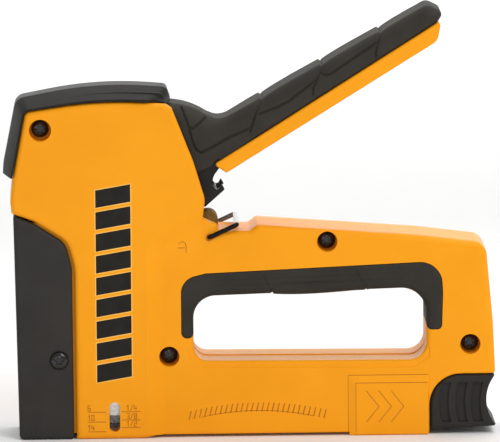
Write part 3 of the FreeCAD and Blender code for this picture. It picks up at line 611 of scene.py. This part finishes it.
CROSS_GROOVES = [[(7.4, 144.0), (6.0, 140.4), (4.8, 137.0), (2.8, 131.8), (0.3, 124.1)],
                 [(30.4, 157.0), (29.5, 153.0), (28.9, 149.0), (27.3, 144.9), (25.9, 141.7), (25.6, 138.5)],
                 [(53.6, 169.0), (53.0, 164.8), (52.2, 160.5), (50.9, 155.3), (51.3, 153.7)]]
LONG_GROOVES = [[(4.0, 131.1), (12.0, 134.1), (16.4, 136.5), (23.6, 142.1), (26.4, 144.5)],
                [(28.4, 147.6), (30.2, 146.6), (32.5, 146.9), (52.2, 160.1)],
                [(-28.0, 137.6), (-27.2, 134.4), (-24.5, 126.7), (-23.3, 121.4), (-21.7, 117.0),
                 (-19.8, 115.3), (-14.5, 117.7), (-8.5, 121.3), (0.3, 125.3)],
                [(-13.4, 133.6), (-15.2, 131.2), (-22.9, 125.1), (-24.3, 126.2)]]


def groove_depth(distance, half_width):
    """1 in the middle of a groove, falling to 0 at its edge."""
    share = min(distance / half_width, 1.0)
    return (1.0 - share * share) ** 2


def lever_grip():
    """The lever's rubber: a narrow round hub that widens into a soft-edged, grooved arm."""
    mesh = fine_mesh("lever_grip_rubber", frame["nodes"]["lever_grip"].data.copy(), GRIP_VOXEL)
    hub = [about_pivot(HUB_R, degrees) for degrees in HUB_ANGLES]
    corners = [(*lever_point(along, above), radius) for along, above, radius in ARM_CORNERS]
    arm = rounded([hub[-1], ARM_START] + corners + [lever_point(*ARM_END)])
    crest = Ribbon(hub[:-1] + arm)
    cross_runs = [Ribbon(evenly(rounded(run), CROSS_POINTS)) for run in CROSS_GROOVES]
    long_runs = [Ribbon(evenly(rounded(run), LONG_POINTS)) for run in LONG_GROOVES]
    slope = Vector((math.cos(LEVER_SLOPE), math.sin(LEVER_SLOPE)))

    def outer(place, normal):
        """False on the inside of the channel."""
        if abs(place.y) < OVER_CHANNEL:
            return crest.near(place, CROWN_DEPTH) is not None
        return normal.y * place.y > INWARD_FACE * abs(place.y)

    def soften(place, normal):
        if not outer(place, normal):
            return place
        along = (Vector((place.x, place.z)) - LEVER_ROOT).dot(slope)
        half = HUB_HALF + (GRIP_HALF - HUB_HALF) * smooth((along - BLEND_START) / BLEND_LENGTH)
        moved = place.copy()
        if abs(moved.y) > half:
            moved.y = math.copysign(half, place.y)
        return round_edge(moved, half, crest, GRIP_ROUND, -1)

    def carve(place, normal):
        if not outer(place, normal):
            return place
        depth = 0.0
        top = crest.near(place, SEARCH)
        for run in cross_runs:
            near = run.near(place, SEARCH)
            if near is None:
                continue
            depth = max(depth, CROSS_DEPTH * groove_depth(near[0], GROOVE_HALF))
            tipward = near[1] * math.copysign(1.0, near[2].x)
            if tipward > 0.0 and top is not None:
                step = STEP_DEPTH * math.exp(-tipward / STEP_FADE)
                depth = max(depth, step * smooth(1.0 - top[0] / STEP_REACH))
        if abs(place.y) > LONG_FROM:
            for run in long_runs:
                near = run.near(place, LONG_REACH)
                if near is not None:
                    depth = max(depth, LONG_DEPTH * groove_depth(near[0], GROOVE_HALF))
        return place - normal * depth

    reshape(mesh, soften)
    reshape(mesh, carve)
    piece = new_object("lever_grip_rubber", mesh, "lever", "black_rubber")
    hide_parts("lever_grip")


# ---- Handle inlay ---------------------------------------------------------------------------------------
INLAY_HALF = 14.2
OPENING_TOP = [(-22.9, 31.5), (-22.9, 57.2, 9.0), (70.9, 60.0, 10.0), (70.9, 31.0)]
INLAY_RIM = [(-27.9, 41.0), (-27.9, 64.4, 7.0), (-18.0, 66.9, 4.0), (77.0, 70.9, 9.0), (77.7, 58.0, 8.0),
             (77.2, 43.4)]
INLAY_VOXEL = 0.4
RIM_ROUND = 1.0
OPENING_ROUND = 3.0
TOP_RUN = (-14.0, 62.0, 54.0)       # the ribbed stretch over the opening: X from, X to, lowest Z
DETAIL_REACH = 12.0     # how far from the opening any detail goes
RIM_PLAIN = 1.8         # width of the plain band along the rim
SIDE_FACING = 0.5
RIB_BAND = (2.6, 9.4)   # how far from the opening the ribs start and end
RIB_PITCH = 2.2
RIB_HEIGHT = 0.16
PAD_ENDS = (9.0, 47.4)  # raised finger pad, X
PAD_DEPTH = 3.6
PAD_RISE = 0.25
PAD_CROWN = 0.65
PAD_SKEW = (1.15, 0.8)  # the crown's stretch and power: it is highest towards the nose
PAD_GROOVE = 0.5        # depth of the slanted groove at each end of the pad
PAD_GROOVE_HALF = 0.6
PAD_LEAN = 0.5
PAD_LEVEL = 58.0        # height at which the slanted grooves meet the pad's ends


def handle_grip():
    """The rubber inlay over the finger opening."""
    mesh = fine_mesh("handle_grip_rubber", frame["nodes"]["handle_grip"].data.copy(), INLAY_VOXEL)
    inner = Ribbon(rounded(OPENING_TOP))
    rim = Ribbon(rounded(INLAY_RIM))

    def soften(place, normal):
        if rim.near(place, RIM_ROUND):
            return round_edge(place, INLAY_HALF, rim, RIM_ROUND, -1)
        return round_edge(place, INLAY_HALF, inner, OPENING_ROUND, 1)

    def detail(place, normal):
        near = inner.near(place, DETAIL_REACH)
        if near is None or rim.near(place, RIM_PLAIN) is not None:
            return place
        in_pad = PAD_ENDS[0] < place.x < PAD_ENDS[1]
        on_top_run = place.z > TOP_RUN[2] and TOP_RUN[0] < place.x < TOP_RUN[1]
        raised = 0.0
        if on_top_run and abs(normal.y) > SIDE_FACING and RIB_BAND[0] < near[0] < RIB_BAND[1]:
            raised += RIB_HEIGHT * math.sin(near[0] * math.tau / RIB_PITCH)
        if in_pad and on_top_run and near[0] < PAD_DEPTH:
            share = (place.x - PAD_ENDS[0]) / (PAD_ENDS[1] - PAD_ENDS[0])
            skewed = min(share * PAD_SKEW[0], 1.0) ** PAD_SKEW[1]
            raised += PAD_RISE + PAD_CROWN * math.sin(math.pi * skewed)
        for end in PAD_ENDS:
            slant = abs(place.x - end + PAD_LEAN * (place.z - PAD_LEVEL))
            if on_top_run and slant < PAD_GROOVE_HALF:
                raised -= PAD_GROOVE * groove_depth(slant, PAD_GROOVE_HALF)
        return place + normal * raised

    reshape(mesh, soften)
    reshape(mesh, detail)
    piece = new_object("handle_grip_rubber", mesh, "housing", "black_rubber")
    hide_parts("handle_grip")


# ---- Springs --------------------------------------------------------------------------------------------
COIL_STEPS = 28         # along each turn
COIL_RING = 10          # around the wire
CLOSED_TURNS = 1.2      # at each end
STEADY_RISE = 0.06      # share of the rise that is even along the wire, the open turns taking the rest


def coil_piece(name, body, start, axis, turns, length, mean_r, wire_r):
    """A round-wire coil with its last turns closed up."""
    start = Vector(start)
    axis = Vector(axis)
    side = axis.orthogonal().normalized()
    other = axis.cross(side)
    steps = int(turns * COIL_STEPS)
    closed = CLOSED_TURNS / turns
    loops = []

    def spot(k):
        share = k / steps
        turn = math.tau * turns * share
        eased = min(max((share - closed) / (1.0 - 2.0 * closed), 0.0), 1.0)
        rise = length * (STEADY_RISE * share + (1.0 - STEADY_RISE) * eased)
        return start + axis * rise + (side * math.cos(turn) + other * math.sin(turn)) * mean_r

    for k in range(steps + 1):
        centre = spot(k)
        ahead = (spot(min(k + 1, steps)) - spot(max(k - 1, 0))).normalized()
        outward = centre - start - axis * (centre - start).dot(axis)
        outward = (outward - ahead * outward.dot(ahead)).normalized()
        third = ahead.cross(outward)
        loop = []
        for i in range(COIL_RING):
            turn = math.tau * i / COIL_RING
            loop.append(centre + (outward * math.cos(turn) + third * math.sin(turn)) * wire_r)
        loops.append(loop)
    return grid_piece(name, loops, body, "spring_steel")


def springs():
    power = coil_piece("power_coil", "housing", start=(-78.0, 0.0, 85.3), axis=(0.0, 0.0, 1.0),
                       turns=7.5, length=31.5, mean_r=7.2, wire_r=1.3)
    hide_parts("power_spring")
    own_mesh(power)
    pusher = coil_piece("pusher_coil", "magazine", start=(4.1, 0.0, 10.4), axis=(1.0, 0.0, 0.0),
                        turns=26.0, length=84.6, mean_r=2.2, wire_r=0.45)
    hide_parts("pusher_spring")
    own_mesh(pusher)


# ---- Screws ---------------------------------------------------------------------------------------------
# Each screw: X, Z, Y of the head's face, length
HOUSING_SCREWS = [(-83.8, 125.9, -11.6, 16.1), (31.1, 79.2, -9.6, 14.1), (-32.8, 33.1, -9.6, 14.1),
                  (88.6, 36.8, -9.6, 14.1)]
NOSE_SCREWS = [(-77.1, 32.5, -17.8, 9.0), (-77.1, 32.5, 17.8, 9.0)]
SHANK_R = 1.5
SCREW_STEPS = 72
HEAD_DEPTH = 2.6
HEAD_ROWS = [(3.45, HEAD_DEPTH), (3.5, 2.4), (3.5, 1.25), (3.42, 1.0), (3.2, 0.72), (2.85, 0.44), (2.4, 0.2),
             (1.9, 0.05)]     # radius, depth
SOCKET_R = 1.38
LOBES = 6.0
LOBE_RISE = 0.24
SOCKET_ROWS = [(0.16, 0.0), (0.0, 0.14), (-0.04, 1.4)]      # how far outside the lobes, depth
SCREW_CREASE = 40.0     # degrees


def socket_radius(turn):
    return SOCKET_R + LOBE_RISE * math.cos(LOBES * turn)


def screws(name, node, places):
    """Round-headed screws with lobed sockets, turned about lines across the tool."""
    mesh = bpy.data.meshes.new(name)
    build = bmesh.new()
    turns = [math.tau * k / SCREW_STEPS for k in range(SCREW_STEPS)]
    for x, z, face_y, length in places:
        inward = -math.copysign(1.0, face_y)
        rows = []
        for radius, depth in [(SHANK_R, length), (SHANK_R, HEAD_DEPTH)] + HEAD_ROWS:
            rows.append([(radius, depth)] * SCREW_STEPS)
        for outside, depth in SOCKET_ROWS:
            rows.append([(socket_radius(turn) + outside, depth) for turn in turns])
        rings = []
        for row in rows:
            ring = []
            for turn, (radius, depth) in zip(turns, row):
                spot = (x + radius * math.cos(turn), face_y + inward * depth, z + radius * math.sin(turn))
                ring.append(build.verts.new(Vector(spot) * MM))
            rings.append(ring)
        for low, high in zip(rings, rings[1:]):
            for k in range(SCREW_STEPS):
                j = (k + 1) % SCREW_STEPS
                build.faces.new((low[k], low[j], high[j], high[k]))
        build.faces.new(rings[0][::-1])
        build.faces.new(rings[-1])
    bmesh.ops.recalc_face_normals(build, faces=build.faces)
    build.to_mesh(mesh)
    build.free()
    piece = new_object(name, mesh, "housing", "black_screw")
    crease(piece, SCREW_CREASE)
    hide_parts(node)


# ---- Printed and cast marks -----------------------------------------------------------------------------
MARK_SINK = 0.04        # how far a mark reaches into the face it stands on
MARK_SLOPE = 0.1        # the most that a mark's edge slopes in
CAST_HEIGHT = 0.05


def raised_marks(name, shapes, face_y, height, material, slot_name):
    """Flat shapes (lists of XZ points in mm) standing a little proud of a side face, with sloped edges."""
    mesh = bpy.data.meshes.new(name)
    build = bmesh.new()
    for shape in shapes:
        middle = sum((Vector(p) for p in shape), Vector((0.0, 0.0))) / len(shape)
        low = []
        high = []
        for p in shape:
            p = Vector(p)
            inner = p + (middle - p).normalized() * min(height, MARK_SLOPE)
            low.append(build.verts.new(Vector((p.x, face_y + MARK_SINK, p.y)) * MM))
            high.append(build.verts.new(Vector((inner.x, face_y - height, inner.y)) * MM))
        count = len(shape)
        for i in range(count):
            j = (i + 1) % count
            build.faces.new((low[i], low[j], high[j], high[i]))
        build.faces.new(high)
        build.faces.new(low[::-1])
    bmesh.ops.recalc_face_normals(build, faces=build.faces)
    build.to_mesh(mesh)
    build.free()
    new_object(name, mesh, "housing", slot_name)
    mesh.materials[0] = material
    for face in mesh.polygons:
        face.use_smooth = False


def stroke(a, b, width):
    """A bar from a to b."""
    a = Vector(a)
    b = Vector(b)
    ahead = (b - a).normalized() * width / 2.0
    side = Vector((-ahead.y, ahead.x))
    return [a - ahead - side, b + ahead - side, b + ahead + side, a - ahead + side]


def strokes(run, width):
    """Bars along a run of places."""
    return [stroke(a, b, width) for a, b in zip(run, run[1:])]


GLYPHS = {"0": [[(0, 0), (1, 0), (1, 2), (0, 2), (0, 0)]],
          "1": [[(0.1, 1.5), (0.6, 2), (0.6, 0)]],
          "2": [[(0, 2), (1, 2), (1, 1), (0, 1), (0, 0), (1, 0)]],
          "3": [[(0, 2), (1, 2), (1, 0), (0, 0)], [(0.3, 1), (1, 1)]],
          "4": [[(0, 2), (0, 0.8), (1, 0.8)], [(0.8, 1.6), (0.8, 0)]],
          "6": [[(1, 2), (0, 2), (0, 0), (1, 0), (1, 1), (0, 1)]],
          "8": [[(0, 0), (1, 0), (1, 2), (0, 2), (0, 0)], [(0, 1), (1, 1)]],
          "/": [[(0, 0), (1, 2)]]}
DIGIT_HEIGHT = 2.1
DIGIT_WIDTH = 0.95
DIGIT_STEP = 1.5
DIGIT_STROKE = 0.3


def number(text, x, z):
    """The strokes of a small number whose lower left corner is at x, z."""
    bars = []
    for i, letter in enumerate(text):
        for run in GLYPHS[letter]:
            places = [(x + i * DIGIT_STEP + px * DIGIT_WIDTH, z + pz * DIGIT_HEIGHT / 2.0) for px, pz in run]
            bars += strokes(places, DIGIT_STROKE)
    return bars


HEAD_SIDE = -16.0
BAR_SIDE = -14.0
PAD_SIDE = BAR_SIDE - 0.8
# Each side of the scale: X of its numbers, how far they drop, its ticks' ends, and each number with its Z
SCALE_SIDES = [(-65.8, 0.3, (-65.6, -58.6), [("6", 12.0), ("10", 8.0), ("14", 4.0)]),
               (-50.2, 0.4, (-52.2, -44.8), [("1/4", 12.1), ("3/8", 8.7), ("1/2", 5.6)])]
TICK_DROP = 0.9
TICK_WIDTH = 0.3


def leg_scale(material):
    """Staple leg lengths beside the level window: millimetres at its left, inches at its right."""
    shapes = []
    for left, drop, ticks, rows in SCALE_SIDES:
        for text, z in rows:
            shapes.append(stroke((ticks[0], z - TICK_DROP), (ticks[1], z - TICK_DROP), TICK_WIDTH))
            shapes += number(text, left, z - drop)
    raised_marks("leg_scale", shapes, HEAD_SIDE, CAST_HEIGHT, material, "yellow_casting")


LABEL_LEFT = -62.0
LABEL_RIGHT = -47.9
LABEL_MIDDLE = (LABEL_LEFT + LABEL_RIGHT) / 2.0
LABEL_LOW = 23.2
LABEL_HIGH = 105.6
LABEL_BARS = 9
LABEL_LEAN = 2.4        # how much higher each bar is at its right
LABEL_FILL = 0.80       # a bar's height, as a share of the pitch
LABEL_EDGE = 0.38       # width of the painted pale halo around each bar
INK_HEIGHT = 0.03
EDGE_HEIGHT = 0.012


def head_label(material, edge_material):
    """A plain column of slanted bars printed on the head."""
    pitch = (LABEL_HIGH - LABEL_LOW - LABEL_LEAN) / LABEL_BARS
    tall = pitch * LABEL_FILL
    shapes = []
    for i in range(LABEL_BARS):
        base = LABEL_LOW + pitch * i
        shapes.append([(LABEL_LEFT, base), (LABEL_RIGHT, base + LABEL_LEAN),
                       (LABEL_RIGHT, base + LABEL_LEAN + tall), (LABEL_LEFT, base + tall)])
    raised_marks("head_label", shapes, HEAD_SIDE, INK_HEIGHT, material, "black_cover")
    # painted highlight: a pale halo just larger than each bar
    shifts = (-LABEL_EDGE, -LABEL_EDGE, LABEL_EDGE, LABEL_EDGE)
    edges = [[(x + math.copysign(LABEL_EDGE, x - LABEL_MIDDLE), z + shift)
              for (x, z), shift in zip(shape, shifts)] for shape in shapes]
    raised_marks("head_label_edge", edges, HEAD_SIDE, EDGE_HEIGHT, edge_material, "yellow_casting")


ARCH_MIDDLE = 2.6       # X
ARCH_TOP = 13.6
ARCH_START = -24.6
ARCH_LENGTH = 54.4
ARCH_DROP = 3.3         # how far the arch falls at ARCH_SPREAD from its middle
ARCH_SPREAD = 28.0
ARCH_RIBS = 27
RIB_FOOT = (-0.4, -3.1)     # each rib's ends, from the arch
RIB_HEAD = (0.4, 0.1)
RIB_WIDTH = 0.5
RULE_START = -20.0
RULE_LENGTH = 45.2
RULE_LOW = 8.1
RULE_RISE = 2.6
RULE_SPREAD = 23.0
RULE_STEPS = 16
RULE_WIDTH = 0.22
BORDER_WIDTH = 0.24
INNER_BORDER_WIDTH = 0.26
MARK_WIDTH = 0.3        # of the chevrons and the lock's mark
# painted shade: dark lines along the rear pad's left and top edges, where its stepped border is shaded
PAD_EDGE_SHADE = [(39.2, 1.4), (39.2, 24.6), (71.4, 24.6)]
PAD_INNER_EDGE_SHADE = [(42.3, 1.4), (42.3, 21.5), (71.0, 21.5)]
CHEVRON = [(46.6, 18.2), (51.6, 11.8), (46.6, 5.6)]
CHEVRON_SHIFTS = (0.0, 5.0, 10.0)
LOCK_HOOK = [(-28.6, 79.2), (-27.2, 80.0), (-26.0, 79.3), (-25.6, 77.8), (-25.7, 75.6)]
LOCK_BAR = [(-28.8, 77.4), (-26.2, 77.4)]


def bar_marks(material):
    """A shallow arch of plain cast ribs on the lower bar with a rule under it, and marks on the rear pad,
    with painted shade lines along the pad's edges.
    """
    shapes = []
    for i in range(ARCH_RIBS):
        x = ARCH_START + ARCH_LENGTH * i / (ARCH_RIBS - 1)
        arch = ARCH_TOP - ARCH_DROP * ((x - ARCH_MIDDLE) / ARCH_SPREAD) ** 2
        foot = (x + RIB_FOOT[0], arch + RIB_FOOT[1])
        head = (x + RIB_HEAD[0], arch + RIB_HEAD[1])
        shapes.append(stroke(foot, head, RIB_WIDTH))
    rule = []
    for i in range(RULE_STEPS + 1):
        x = RULE_START + RULE_LENGTH * i / RULE_STEPS
        rule.append((x, RULE_LOW + RULE_RISE * (1.0 - ((ARCH_MIDDLE - x) / RULE_SPREAD) ** 2)))
    shapes += strokes(rule, RULE_WIDTH) + strokes(PAD_EDGE_SHADE, BORDER_WIDTH)
    raised_marks("bar_marks", shapes, BAR_SIDE, CAST_HEIGHT, material, "yellow_casting")
    pad = []
    for shift in CHEVRON_SHIFTS:
        pad += strokes([(x + shift, z) for x, z in CHEVRON], MARK_WIDTH)
    pad += strokes(PAD_INNER_EDGE_SHADE, INNER_BORDER_WIDTH)
    raised_marks("pad_marks", pad, PAD_SIDE, CAST_HEIGHT, material, "yellow_casting")
    lock = strokes(LOCK_HOOK, MARK_WIDTH) + strokes(LOCK_BAR, MARK_WIDTH)
    raised_marks("lock_mark", lock, BAR_SIDE, CAST_HEIGHT, material, "yellow_casting")


NOSE_RIBS = [((-86.6, 3.6), (-86.6, 11.0), 0.5), ((-88.0, 8.6), (-88.0, 10.8), 0.4),
             ((-85.2, 8.6), (-85.2, 10.8), 0.4)]        # start, end, width
NOSE_RIB_HEIGHT = 0.12


def nose_mark(material):
    """A short moulded rib with a shorter one each side, low on the nose cover."""
    ribs = [stroke(*rib) for rib in NOSE_RIBS]
    raised_marks("nose_mark", ribs, HEAD_SIDE, NOSE_RIB_HEIGHT, material, "black_cover")


# ---- The whole scene ----------------------------------------------------------------------------------
make_camera()
make_studio()
make_floor(floor_paint())
materials = make_materials()
slot_of = {row["node"]: row["material_slot"] for row in frame["record"]["subparts"]}
for name, node in frame["nodes"].items():
    node.data.materials.clear()
    node.data.materials.append(materials[slot_of[name]])
# painted shade: the cap's plastic is the cover plastic made darker
top_cap(black_plastic("black_cap_plastic_painted_shade", CAP_SHADED_TONE))
lever_grip()
handle_grip()
springs()
screws("housing_screw_set", "housing_screws", HOUSING_SCREWS)
screws("nose_screw_set", "nose_screws", NOSE_SCREWS)
ink = print_ink()
# painted shade: the cast marks wear a darkened copy of the yellow paint
cast_mark_shade = painted_mark_shade()
head_label(ink, painted_label_halo())
leg_scale(cast_mark_shade)
bar_marks(cast_mark_shade)
nose_mark(materials["black_cover"])
bpy.context.scene.view_settings.view_transform = "Standard"
